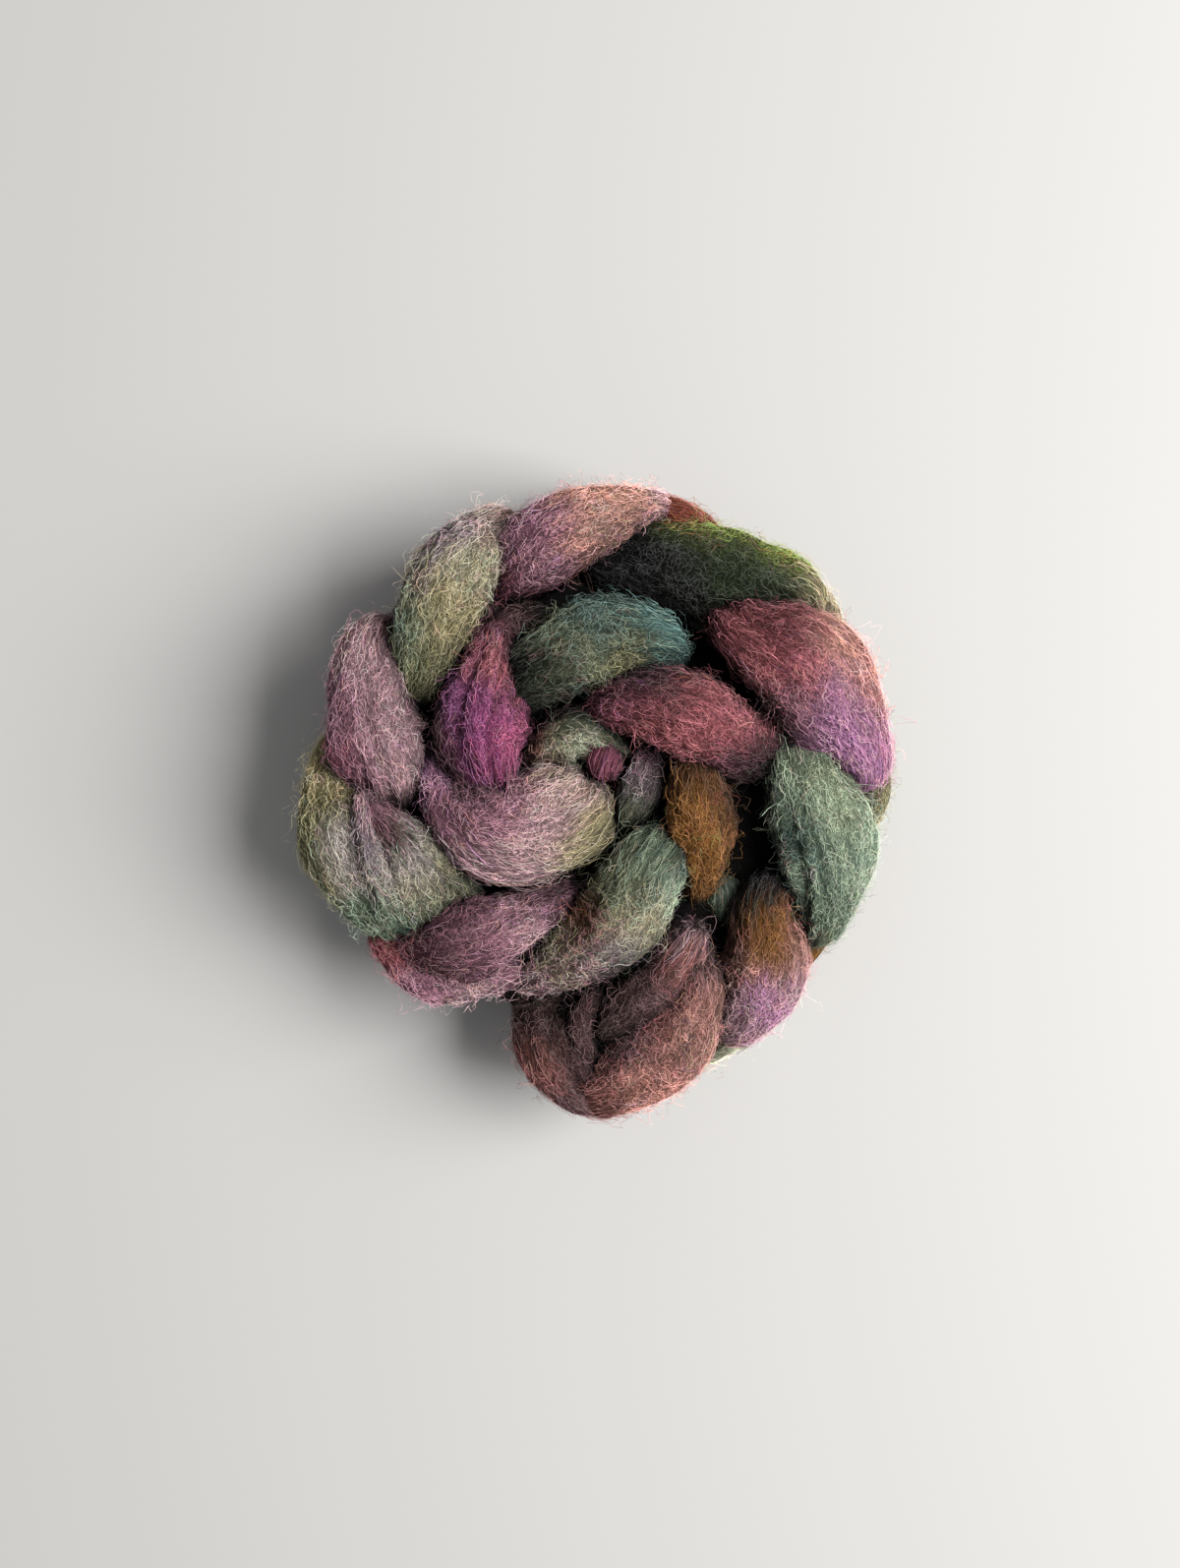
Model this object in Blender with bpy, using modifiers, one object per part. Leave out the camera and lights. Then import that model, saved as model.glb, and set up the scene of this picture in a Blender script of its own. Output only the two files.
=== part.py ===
"""A braid of combed wool roving, coiled on its edge.

One soft strand of combed wool is looped through itself into a chain. The chain
stands on its edge and winds inward as a flat spiral, so the loops' upper legs
lie side by side as a ring of fat lobes, and their lower legs carry the coil on
the table. The whole coil is one strand, and so one solid: the legs are tubes
that thicken in the middle, their roots sink into the middle of the chain, and
the coil is flattened a little where it rests.

The table's surface is z = 0, and x = y = 0 is the middle of the coil's box.
"""

from collections import namedtuple

import bmesh
import bpy
from mathutils import Matrix, Vector

MM = 0.001                 # the sizes below are millimetres, and Blender's are metres

COIL_MIDDLE = (-1.7, 1.8)  # x and y of the middle of the coil's box, in the tables below
COIL_HEIGHT = 52.0         # table to the crest of the highest leg
SETTLE = 0.80              # height of a leg over its width, squashed by its own weight
MIDDLE = 0.5 * COIL_HEIGHT  # height at which the upper and lower legs meet

LEG_STEPS = 5              # tube rings between two of a leg's own places
ROOT_RUN = 0.35            # how far a root runs on past its leg's end, in widths there
ROOT_THICKNESS = 0.75      # a root's width over the width of its leg's end
ROOT_PULL = 0.6            # share of the way that a root is drawn in to the core

LOWER_WIDTH = 25.0         # width of a lower leg
LOWER_END_WIDTH = 20.0     # its width where it turns up into the chain
LOWER_REACH = 13.0         # from a lower leg's belly to where it turns up
LOWER_SLANT = 2.0          # its head leans in and its tail out by this much
PRESSED = 2.0              # how far the lower legs are pressed flat by the table
LOWER_END_LIFT = 4.0       # height that a lower leg's ends have gained

CORE_WIDTH = 24.0          # the strands that run along the inside of the chain
CORE_START = (-12, -66)    # x and y of the core at the coil's outer end
HEART = (0, -4, 62, 22)    # x, y, radius and thickness of the wool pressed between the turns

VOXEL = 2.8                # grain at which the legs fuse into one surface
FACE_SHARE = 0.32          # share of the fused faces that is kept
WELD_DISTANCE = 0.1        # closes the slivers that the flat cut leaves

Place = namedtuple("Place", "x y width crest")
Leg = namedtuple("Leg", "name head belly tail under", defaults=(0,))

# The upper legs in their order along the chain, from its outer end to its heart.
# Each place along a leg is x, y, width and the height of its crest; the head is
# the end that lies further out along the chain. The last column is how far the
# lower leg between this leg and the next stands out past their bellies.
CHAIN = (
    Leg("rosewood_end", (29, -50, 11, 40), (18, -67, 25, 43), (0, -80, 18, 36), 8),
    Leg("ochre", (47, -28, 14, 40), (48, -45, 25, 43), (41, -61, 19, 36), 6),
    Leg("sea_green", (55, 12, 14, 42), (62, -9, 29, 47), (63, -36, 6, 36), 10),
    Leg("dusty_rose", (39, 43, 19, 46), (58, 36, 30, 52), (74, 12, 19, 42), 6),
    Leg("bottle_green", (4, 64, 13, 36), (30, 65, 25, 43), (56, 57, 18, 40), 7),
    Leg("salmon", (17, 81, 8, 36), (-1, 75, 23, 50), (-23, 62, 21, 43), 2),
    Leg("olive", (-29, 78, 10, 38), (-40, 60, 25, 51), (-48, 33, 9, 42), 4),
    Leg("mauve", (-62, 45, 17, 42), (-61, 22, 25, 49), (-58, 4, 18, 42), -2),
    Leg("straw", (-75, 12, 11, 34), (-74, -10, 16, 44), (-55, -30, 18, 38)),
    Leg("plum", (-55, -43, 14, 34), (-37, -42, 25, 44), (-8, -26, 7, 38)),
    Leg("mint", (-18, -49, 9, 34), (4, -37, 24, 46), (15, -15, 21, 46)),
    Leg("amber", (28, 6, 15, 44), (30, -8, 20, 45), (29, -26, 6, 36)),
    Leg("brick", (41, 17, 15, 44), (25, 24, 24, 52), (5, 30, 12, 46)),
    Leg("teal", (17, 45, 18, 46), (1, 43, 27, 51), (-16, 33, 17, 46)),
    Leg("magenta", (-24, 48, 12, 42), (-33, 25, 22, 50), (-29, 4, 7, 44)),
    Leg("blush", (-43, 9, 17, 40), (-28, -9, 27, 50), (-9, -6, 29, 48)),
    Leg("celadon", (-14, 16, 11, 36), (-6, 19, 13, 40), (3, 15, 8, 38)),
)

# Folds and split strands that lie beside the legs, in the same columns.
SIDE_STRANDS = (
    Leg("rosewood_fold", (24, -38, 14, 42), (17, -49, 17, 42), (6, -60, 8, 38)),
    Leg("rosewood_wisp", (-1, -55, 7, 38), (-4, -63, 8, 40), (-2, -72, 5, 36)),
    Leg("rosewood_tail", (-18, -59, 16, 32), (-12, -72, 18, 38), (-3, -80, 17, 36)),
    Leg("straw_fan", (-62, -3, 5, 44), (-55, -16, 21, 46), (-44, -25, 19, 42)),
    Leg("lilac_heart", (15, 13, 10, 34), (13, 4, 11, 36), (10, -2, 10, 34)),
    Leg("brick_knob", (3, 12, 8, 40), (3, 10, 10, 44), (2, 8, 7, 38)),
)

OFFSET = Vector((*COIL_MIDDLE, 0.0))
WOOL_COLOUR = (0.33, 0.22, 0.21, 1.0)
WOOL_ROUGHNESS = 0.95


def clear_scene():
    """Remove the objects that the scene starts with."""
    for thing in list(bpy.data.objects):
        bpy.data.objects.remove(thing, do_unlink=True)


def new_collection(name):
    """A collection of that name, under the scene's own."""
    collection = bpy.data.collections.new(name)
    bpy.context.scene.collection.children.link(collection)
    return collection


def dyed_wool():
    """Matte fibre with the mean colour of the dyes."""
    material = bpy.data.materials.new("dyed_wool")
    material.use_nodes = True
    shader = material.node_tree.nodes["Principled BSDF"]
    shader.inputs["Base Color"].default_value = WOOL_COLOUR
    shader.inputs["Roughness"].default_value = WOOL_ROUGHNESS
    shader.inputs["Metallic"].default_value = 0.0
    return material


def ring(place):
    """A tube ring at a place of an upper leg: its centre as a vector, and its radius."""
    place = Place(*place)
    centre_height = place.crest - 0.5 * place.width * SETTLE
    return Vector((place.x, place.y, centre_height)), 0.5 * place.width


def root_of(end, before):
    """The ring that a leg sinks to past its end: on, down, and in to the chain's core."""
    centre, radius = end
    along = centre - before[0]
    along.z = 0.0
    root = centre + along.normalized() * (2.0 * radius * ROOT_RUN)
    root.z = MIDDLE
    core = min((place for place, width in core_rings()), key=lambda place: (place - root).length)
    return root.lerp(core, ROOT_PULL), radius * ROOT_THICKNESS


def smooth_between(a, b, c, d, t):
    """Catmull-Rom value between b and c."""
    drift = (c - a) * t
    bend = (a * 2.0 - b * 5.0 + c * 4.0 - d) * t ** 2
    turn = (b * 3.0 - a - c * 3.0 + d) * t ** 3
    return b + (drift + bend + turn) * 0.5


def smooth_rings(rings, steps):
    """More rings, on a smooth curve through the given ones."""
    padded = [rings[0], *rings, rings[-1]]
    result = []
    for i in range(len(rings) - 1):
        quad = padded[i:i + 4]
        for k in range(steps):
            t = k / steps
            centre = smooth_between(*(r[0] for r in quad), t)
            radius = smooth_between(*(r[1] for r in quad), t)
            result.append((centre, radius))
    result.append(rings[-1])
    return result


def upper_rings(leg):
    """The rings of an upper leg, from root to root."""
    head, belly, tail = ring(leg.head), ring(leg.belly), ring(leg.tail)
    return smooth_rings([root_of(head, belly), head, belly, tail, root_of(tail, belly)], LEG_STEPS)


def lower_rings(leg, following):
    """The rings of the lower leg that lies between two upper legs of the chain."""
    here = ring(leg.belly)[0].xy
    there = ring(following.belly)[0].xy
    along = (there - here).normalized()
    out = Vector((along.y, -along.x))
    middle = 0.5 * (here + there) + out * leg.under
    half_height = 0.5 * LOWER_WIDTH * SETTLE
    belly = Vector((*middle, half_height - PRESSED)), 0.5 * LOWER_WIDTH
    end_height = half_height + LOWER_END_LIFT
    reach = along * LOWER_REACH + out * LOWER_SLANT
    head = Vector((*(middle - reach), end_height)), 0.5 * LOWER_END_WIDTH
    tail = Vector((*(middle + reach), end_height)), 0.5 * LOWER_END_WIDTH
    return smooth_rings([root_of(head, belly), head, belly, tail, root_of(tail, belly)], LEG_STEPS)


def core_rings():
    """The strands inside the chain, along the middles of its legs."""
    rings = [(Vector((*CORE_START, MIDDLE)), 0.5 * CORE_WIDTH)]
    for leg in CHAIN:
        belly = ring(leg.belly)[0]
        rings.append((Vector((belly.x, belly.y, MIDDLE)), 0.5 * CORE_WIDTH))
    return smooth_rings(rings, LEG_STEPS)


def tube(name, rings, collection):
    """A closed mesh tube through the rings, its section squashed by SETTLE."""
    curve = bpy.data.curves.new(name, "CURVE")
    curve.dimensions = "3D"
    curve.bevel_depth = MM
    curve.bevel_resolution = 4
    curve.use_fill_caps = True
    spline = curve.splines.new("POLY")
    spline.points.add(len(rings) - 1)
    for point, (centre, radius) in zip(spline.points, rings):
        place = (centre - OFFSET) * MM
        point.co = (place.x, place.y, place.z / SETTLE, 1.0)
        point.radius = radius
    bent = bpy.data.objects.new(name + "_route", curve)
    bent.scale.z = SETTLE
    collection.objects.link(bent)
    bpy.context.view_layer.update()
    evaluated = bent.evaluated_get(bpy.context.evaluated_depsgraph_get())
    mesh = bpy.data.meshes.new_from_object(evaluated)
    mesh.transform(bent.matrix_world)
    bpy.data.objects.remove(bent, do_unlink=True)
    return mesh


def add_heart(strand):
    """The wool that is pressed flat between the turns, and closes the coil through."""
    x, y, radius, thickness = HEART
    place = Matrix.Translation((Vector((x, y, MIDDLE)) - OFFSET) * MM)
    size = Matrix.Diagonal((radius * MM, radius * MM, 0.5 * thickness * MM, 1.0))
    bmesh.ops.create_uvsphere(strand, u_segments=48, v_segments=12, radius=1.0, matrix=place @ size)


def wound_strand(collection):
    """All the tubes in one mesh, each still closed by itself."""
    routes = {"core": core_rings()}
    for leg in CHAIN + SIDE_STRANDS:
        routes[leg.name] = upper_rings(leg)
    for leg, following in zip(CHAIN[:-1], CHAIN[1:]):
        routes["under_" + leg.name] = lower_rings(leg, following)
    strand = bmesh.new()
    add_heart(strand)
    for name, rings in routes.items():
        strand.from_mesh(tube(name, rings, collection))
    bmesh.ops.remove_doubles(strand, verts=strand.verts, dist=0.0001 * MM)
    mesh = bpy.data.meshes.new("wool_braid")
    strand.to_mesh(mesh)
    strand.free()
    return mesh


def table_cutter(collection):
    """A slab that reaches up to the table's surface, and trims the coil flat there."""
    side, depth = 4.0 * COIL_HEIGHT * MM, COIL_HEIGHT * MM
    bpy.ops.mesh.primitive_cube_add(size=1.0, location=(0.0, 0.0, -0.5 * depth))
    slab = bpy.context.active_object
    slab.name = "table_cutter"
    slab.dimensions = (side, side, depth)
    bpy.ops.object.transform_apply(location=False, rotation=False, scale=True)
    slab.hide_render = True
    slab.display_type = "WIRE"
    for owner in list(slab.users_collection):
        owner.objects.unlink(slab)
    collection.objects.link(slab)
    return slab


def wool_braid(collection, cutters):
    """The coil as one solid: its tubes fused, thinned and trimmed flat below."""
    braid = bpy.data.objects.new("wool_braid", wound_strand(collection))
    collection.objects.link(braid)
    fuse = braid.modifiers.new("fuse", "REMESH")
    fuse.mode = "VOXEL"
    fuse.voxel_size = VOXEL * MM
    fuse.use_smooth_shade = True
    thin = braid.modifiers.new("thin", "DECIMATE")
    thin.ratio = FACE_SHARE
    trim = braid.modifiers.new("trim", "BOOLEAN")
    trim.operation = "DIFFERENCE"
    trim.object = table_cutter(cutters)
    weld = braid.modifiers.new("weld", "WELD")
    weld.merge_threshold = WELD_DISTANCE * MM
    braid.data.materials.append(dyed_wool())
    return braid


clear_scene()
wool_braid(new_collection("braid_of_wool_roving"), new_collection("cutters"))
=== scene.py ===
"""Looks of a braid of combed wool roving, coiled on its edge.

The frame gives the coil as one fused solid. Here the same legs are made again as
finely shaped tubes of dyed wool, with their grooves and folds, and the loose
fibres that lie on them and stand off them are added as thin closed prisms.
"""

from collections import namedtuple

import bpy
import numpy as np
from mathutils import Matrix, Vector
from mathutils.bvhtree import BVHTree


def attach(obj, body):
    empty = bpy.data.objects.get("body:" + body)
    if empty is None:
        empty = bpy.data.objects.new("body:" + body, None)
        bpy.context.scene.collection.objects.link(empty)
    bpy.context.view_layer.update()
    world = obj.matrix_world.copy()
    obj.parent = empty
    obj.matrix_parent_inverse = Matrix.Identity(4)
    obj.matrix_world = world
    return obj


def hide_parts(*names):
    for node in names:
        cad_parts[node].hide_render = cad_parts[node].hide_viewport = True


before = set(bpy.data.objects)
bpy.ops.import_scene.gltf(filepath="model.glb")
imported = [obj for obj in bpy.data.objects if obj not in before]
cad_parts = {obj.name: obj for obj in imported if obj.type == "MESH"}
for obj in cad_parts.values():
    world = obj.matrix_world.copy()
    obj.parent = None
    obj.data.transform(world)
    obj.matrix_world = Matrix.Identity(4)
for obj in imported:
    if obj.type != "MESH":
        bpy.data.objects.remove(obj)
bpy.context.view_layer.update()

MM = 0.001                 # the sizes below are millimetres, and Blender's are metres
rng = np.random.default_rng(7)

# ---------------------------------------------------------------- the chain

COIL_MIDDLE = (-1.7, 1.8)  # x and y of the middle of the coil's box, in the tables below
COIL_HEIGHT = 52.0         # table to the crest of the highest leg
SETTLE = 0.80              # height of a leg over its width, squashed by its own weight
MIDDLE = 0.5 * COIL_HEIGHT  # height at which the upper and lower legs meet

ROOT_RUN = 0.35            # how far a root runs on past its leg's end, in widths there
ROOT_THICKNESS = 0.75      # a root's width over the width of its leg's end
ROOT_PULL = 0.6            # share of the way that a root is drawn in to the core
SIDE_PULL = 0.15           # the same for a split strand, which sinks nearly straight

LOWER_WIDTH = 25.0         # width of a lower leg
LOWER_END_WIDTH = 20.0     # its width where it turns up into the chain
LOWER_REACH = 13.0         # from a lower leg's belly to where it turns up
LOWER_SLANT = 2.0          # its head leans in and its tail out by this much
PRESSED = 2.0              # how far the lower legs are pressed flat by the table
LOWER_END_LIFT = 4.0       # height that a lower leg's ends have gained

CORE_WIDTH = 21.0          # the strands that run along the inside of the chain
CORE_START = (-12, -66)    # x and y of the core at the coil's outer end
HEART = (0, -4, 60, 12)    # x, y, radius and thickness of the wool pressed between the turns

Place = namedtuple("Place", "x y width crest")
Leg = namedtuple("Leg", "name head belly tail under", defaults=(0,))

# The upper legs in their order along the chain, from its outer end to its heart.
# Each place along a leg is x, y, width and the height of its crest; the head is
# the end that lies further out along the chain. The last column is how far the
# lower leg between this leg and the next stands out past their bellies.
CHAIN = (
    Leg("rosewood_end", (30, -50, 12, 40), (20, -68, 28, 43), (2, -82, 19, 36), 8),
    Leg("ochre", (47.3, -29.5, 16, 40), (48, -45.5, 25, 43), (41, -61, 18, 36), 8),
    Leg("sea_green", (58, 11, 18, 42), (64.5, -11.5, 27, 47), (64.5, -34, 15, 37), 10),
    Leg("dusty_rose", (45.5, 45, 23, 46), (58.6, 35.4, 33.2, 52), (75, 12, 17.5, 42), 6),
    Leg("bottle_green", (6, 66.8, 21, 39), (29, 64.3, 26.3, 43), (54, 58, 20, 40), 7),
    Leg("salmon", (17, 82.3, 9, 36), (-6.5, 74.6, 22, 50), (-23, 64, 18, 43), 2),
    Leg("olive", (-29.5, 76, 13, 40), (-40.2, 59.8, 24.5, 51), (-49.5, 34.5, 13.5, 44), 4),
    Leg("mauve", (-63, 42.8, 14.5, 42), (-62, 21, 24.5, 49), (-57.5, 5, 17, 42), -2),
    Leg("straw", (-74, 12, 12.5, 34), (-70.3, -12, 25.5, 44), (-56, -32, 20, 38)),
    Leg("plum", (-52, -40, 16, 35), (-36, -39.5, 22, 45), (-8, -28, 11, 38)),
    Leg("mint", (-18, -50, 11, 34), (3.5, -36.5, 23.3, 46), (15.2, -18.5, 20.4, 46)),
    Leg("amber", (28, 6, 15, 44), (29.5, -8, 18, 45), (28.5, -25, 8, 36)),
    Leg("brick", (41.8, 15, 20.3, 43), (24.3, 23.7, 22.8, 52), (8, 27.5, 17, 47)),
    Leg("teal", (17, 44, 16, 46), (0, 43.5, 25, 51), (-18, 35.5, 18, 46)),
    Leg("magenta", (-28, 46, 12, 42), (-32, 19, 25, 50), (-29.5, 5, 14, 44)),
    Leg("blush", (-43, 9, 18, 40), (-28, -9, 28, 50), (-10.6, -5, 29, 48)),
    Leg("celadon", (-16, 12, 13, 37), (-5, 18, 16, 42), (5, 13, 10, 39)),
)

# Folds and split strands that lie beside the legs, in the same columns.
SIDE_STRANDS = (
    Leg("rosewood_fold", (24, -43.5, 15, 43), (17, -52, 18, 44), (6, -62, 12, 40)),
    Leg("rosewood_rim", (27.5, -46, 13, 41), (28.3, -57, 14, 44), (20, -74.5, 14, 39)),
    Leg("rosewood_wisp", (-1, -56, 6, 37), (-4, -64, 7, 38), (-2, -73, 5, 35)),
    Leg("rosewood_tail", (-15, -58, 18, 31), (-11, -71.5, 23, 37), (-4, -82, 18, 35)),
    Leg("straw_ridge", (-64.5, 0, 5, 43), (-61.2, -16, 10, 46.5), (-56, -31, 11, 42)),
    Leg("straw_lock", (-62.5, -2, 5, 44), (-52, -16.5, 12.5, 47), (-47.5, -30.5, 14, 42)),
    Leg("straw_edge", (-61, -3, 6, 43), (-50, -14, 14, 44.5), (-40, -26, 15, 40)),
    Leg("plum_rim", (-59, -40, 11, 34), (-46, -50.5, 14, 38), (-27, -49, 11, 37)),
    Leg("magenta_end", (-30, 45, 9, 41), (-23, 49, 9, 43), (-15, 51, 7, 41)),
    Leg("lilac_heart", (15, 13, 9, 38), (13, 4, 11, 40), (10, -3, 10, 38)),
    Leg("brick_knob", (3, 12.5, 8, 40), (2.5, 10.5, 10, 43), (2, 8.5, 8, 39)),
    Leg("gap_lock", (33, -21, 8, 28), (37, -28, 11, 33), (36, -36, 8, 28)),
    Leg("pale_loop", (23, -71, 8, 20), (32.5, -71.5, 13, 25), (42, -66, 9, 20)),
    Leg("rust_loop", (13, 79, 13, 30), (22, 79, 14, 35), (31, 74, 12, 30)),
    Leg("tan_loop", (58, 61, 8, 27), (62.5, 55, 12, 31), (68, 46, 8, 29)),
    Leg("moss_loop", (78, 17, 12, 22), (77.5, 4, 18, 27), (73, -9, 13, 24)),
)

# ---------------------------------------------------------------- the dyes, with painted light and shade among them

# Hand-painted acid dyes on cream wool: each colour has struck a stretch of the top
# and bled softly into the next. sRGB hex.
# The near-black 1a1114 is no dye: it is painted shade for creases and shaded edges.
DYES = {
    "salmon": "bd8a75", "pink_grey": "a8868c", "mauve": "a0707f", "lilac": "ad79a0",
    "cream_olive": "a29b80", "olive": "747250", "sage": "6c7058", "slate_teal": "50625a",
    "teal": "587a74", "sea": "72806b", "mint": "98a588", "straw": "817b5c", "silver": "a09790",
    "plum": "844b5c", "wine": "4b2a33", "rose": "99565a", "brick": "7a4145", "coral": "c68c80",
    "magenta": "924a78", "hot_pink": "a54e72", "amber": "875b2b", "ochre": "8c5d28",
    "umber": "5a3c22", "rosewood": "85574f", "cinnamon": "9c7167", "brown_plum": "5e4444",
    "cocoa": "47322f", "forest": "3a4030", "bottle": "2c3620", "ink": "0d100d",
    "night": "1a1114", "moss": "788640", "tan": "a59778", "rust": "80402f",
    "pale_green": "b3b598", "rosy_cream": "bf9a9d", "dusk": "87606d", "shell": "b59a8f",
    "cream_gold": "958b67", "pale_gold": "b0a074", "heather": "87797f", "violet": "6f3e62",
    "deep_bottle": "191d15", "clay": "ab7b6f", "driftwood": "948779", "dusk_plum": "75505a",
    "pale_sea": "8a9c86", "pale_silver": "b5aba3", "bright_rose": "b0686f",
}

# Where each dye is strongest on a leg: x, y and the dye. Some spots are painted light and
# shade, not dye: the near-black spots, and some cocoa, brown_plum and forest ones at the
# edges of legs, darken creases and shaded edges, and the shell spots on blush beside
# celadon lighten a fold.
DYE_AND_SHADE_SPOTS = {
    "rosewood_end": ((31, -50, "cinnamon"), (20, -64, "rosewood"), (25, -68, "cinnamon"),
                     (11, -68, "brown_plum"), (14, -80, "coral"), (2, -82, "rosewood")),
    "rosewood_fold": ((26, -36, "pink_grey"), (24, -46, "rosewood"), (15, -54, "brown_plum"),
                      (13, -42, "night"), (6, -62, "cocoa")),
    "rosewood_rim": ((28, -42, "brown_plum"), (32, -39, "night"), (31, -58, "cinnamon"),
                     (22, -76, "clay")),
    "rosewood_wisp": ((0, -58, "brown_plum"), (-3, -68, "brown_plum")),
    "rosewood_tail": ((-18, -58, "cocoa"), (-10, -68, "cocoa"), (-17, -76, "rosewood"),
                      (-3, -80, "brown_plum")),
    "ochre": ((46, -24, "night"), (53, -36, "ochre"), (59, -38, "cinnamon"), (43, -38, "umber"),
              (49, -43, "amber"), (38, -48, "clay"), (58, -46, "cinnamon"), (41, -60, "pink_grey"),
              (47, -57, "lilac"), (55, -53, "pink_grey")),
    "sea_green": ((52, 17, "night"), (57, 11, "mint"), (53, -2, "pale_sea"), (66, 4, "mint"),
                  (58, -12, "slate_teal"), (67, -6, "mint"), (75, -12, "pale_sea"),
                  (51, -20, "night"), (58, -22, "pale_sea"), (65, -24, "pale_sea"),
                  (66, -33, "sea")),
    "dusty_rose": ((36, 46, "rose"), (44, 40, "rose"), (54, 47, "brick"), (68, 44, "clay"),
                   (54, 34, "bright_rose"), (77, 32, "coral"), (81, 18, "mauve"),
                   (72, 18, "lilac"), (65, 22, "lilac"), (70, 29, "mauve"), (73, 10, "lilac"),
                   (56, 24, "mauve"), (46, 24, "brown_plum"), (52, 20, "night"),
                   (47, 19, "night")),
    "bottle_green": ((2, 64, "ink"), (14, 65, "ink"), (24, 60, "deep_bottle"), (24, 71, "ink"),
                     (38, 62, "bottle"), (40, 70, "bottle"), (52, 63, "bottle"),
                     (52, 56, "bottle"), (26, 79, "moss"), (38, 77, "moss"), (50, 73, "moss"),
                     (58, 67, "moss"), (66, 57, "tan")),
    "salmon": ((17, 80, "pink_grey"), (12, 81, "salmon"), (5, 82, "salmon"), (-3, 79, "clay"),
               (-14, 75, "mauve"), (0, 74, "coral"), (2, 77, "shell"), (7, 69, "night"),
               (12, 73, "night"), (-18, 66, "mauve"), (-26, 57, "plum")),
    "olive": ((-28, 78, "shell"), (-39, 76, "heather"), (-32, 64, "cream_olive"),
              (-53, 62, "driftwood"), (-53, 48, "sea"), (-42, 50, "cream_gold"),
              (-48, 34, "olive"), (-55, 40, "sage")),
    "mauve": ((-65, 43, "pink_grey"), (-59, 33, "pink_grey"), (-71, 24, "dusk"),
              (-57, 20, "pink_grey"), (-66, 8, "dusk"), (-54, 8, "pink_grey"), (-72, 10, "plum")),
    "straw": ((-76, 8, "pale_gold"), (-80, -4, "olive"), (-80, -18, "olive"),
              (-70, -14, "pale_silver"), (-62, -35, "sea"), (-52, -38, "sea")),
    "straw_ridge": ((-65, 0, "pink_grey"), (-63, -12, "heather"), (-59, -22, "silver"),
                    (-57, -32, "sea")),
    "straw_lock": ((-64, -3, "dusk"), (-59, -12, "cocoa"), (-53, -20, "silver"),
                   (-50, -28, "cream_olive"), (-52, -34, "sea"), (-46, -35, "forest")),
    "straw_edge": ((-62, -2, "dusk"), (-56, -4, "wine"), (-51, -11, "silver"),
                   (-45, -19, "cream_olive"), (-38, -26, "sage")),
    "magenta_end": ((-29, 45, "plum"), (-22, 49, "brown_plum"), (-15, 51, "ink")),
    "plum": ((-57, -41, "plum"), (-48, -42, "wine"), (-38, -36, "dusk_plum"),
             (-34, -46, "dusk_plum"), (-25, -38, "mauve"), (-10, -28, "dusk"),
             (-18, -38, "pink_grey")),
    "plum_rim": ((-60, -40, "rose"), (-48, -52, "mauve"), (-34, -54, "pink_grey"),
                 (-20, -48, "mauve")),
    "mint": ((-17, -52, "pink_grey"), (-9, -46, "straw"), (-1, -36, "umber"),
             (-4, -46, "pink_grey"), (6, -42, "silver"), (8, -24, "sage"),
             (13, -35, "cream_olive"), (22, -24, "pale_sea"), (16, -12, "sea"),
             (26, -13, "forest"), (27, -19, "forest"), (7, -49, "night")),
    "amber": ((29, 9, "umber"), (26, -3, "amber"), (37, -2, "umber"), (30, -14, "amber"),
              (29, -26, "amber")),
    "brick": ((4, 29, "plum"), (14, 35, "night"), (9, 33, "night"), (20, 32, "wine"),
              (25, 36, "night"), (13, 23, "rose"), (27, 31, "rose"), (32, 20, "rose"),
              (43, 21, "bright_rose"), (47, 12, "night"), (39, 9, "wine")),
    "teal": ((19, 50, "teal"), (10, 53, "slate_teal"), (-3, 54, "slate_teal"), (-14, 48, "sage"),
             (2, 46, "slate_teal"), (-22, 38, "ink"), (-12, 34, "forest"), (-4, 40, "sage"),
             (8, 39, "olive"), (24, 41, "teal")),
    "magenta": ((-26, 48, "mauve"), (-34, 42, "plum"), (-27, 38, "rose"), (-26, 30, "plum"),
                (-38, 28, "violet"), (-30, 24, "magenta"), (-43, 18, "wine"),
                (-23, 16, "hot_pink"), (-31, 12, "magenta"), (-38, 8, "night"),
                (-28, 5, "hot_pink"), (-28, 0, "night")),
    "blush": ((-45, 11, "lilac"), (-33, 5, "night"), (-42, -4, "mauve"), (-30, -6, "mauve"),
              (-22, 4, "mauve"), (-12, 6, "shell"), (-11, -6, "rosy_cream"),
              (-20, -16, "rosy_cream"), (-3, 4, "shell"), (-8, 9, "shell"), (1, -6, "cream_gold"),
              (-2, -15, "cream_gold"), (-32, -20, "pink_grey")),
    "celadon": ((-17, 12, "rosewood"), (-9, 22, "forest"), (2, 20, "forest"),
                (-4, 12, "pale_green"), (-5, 14, "pale_green")),
    "brick_knob": ((3, 10, "plum"),),
    "lilac_heart": ((15, 14, "dusk_plum"), (13, 4, "heather"), (10, -4, "sage")),
    "gap_lock": ((36, -28, "pale_sea"),),
    "pale_loop": ((33, -70, "pale_green"),),
    "rust_loop": ((25, 80, "rust"),),
    "tan_loop": ((58, 64, "moss"), (66, 56, "tan"), (72, 44, "shell")),
    "moss_loop": ((76, 14, "moss"), (79, 0, "straw")),
}

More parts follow.
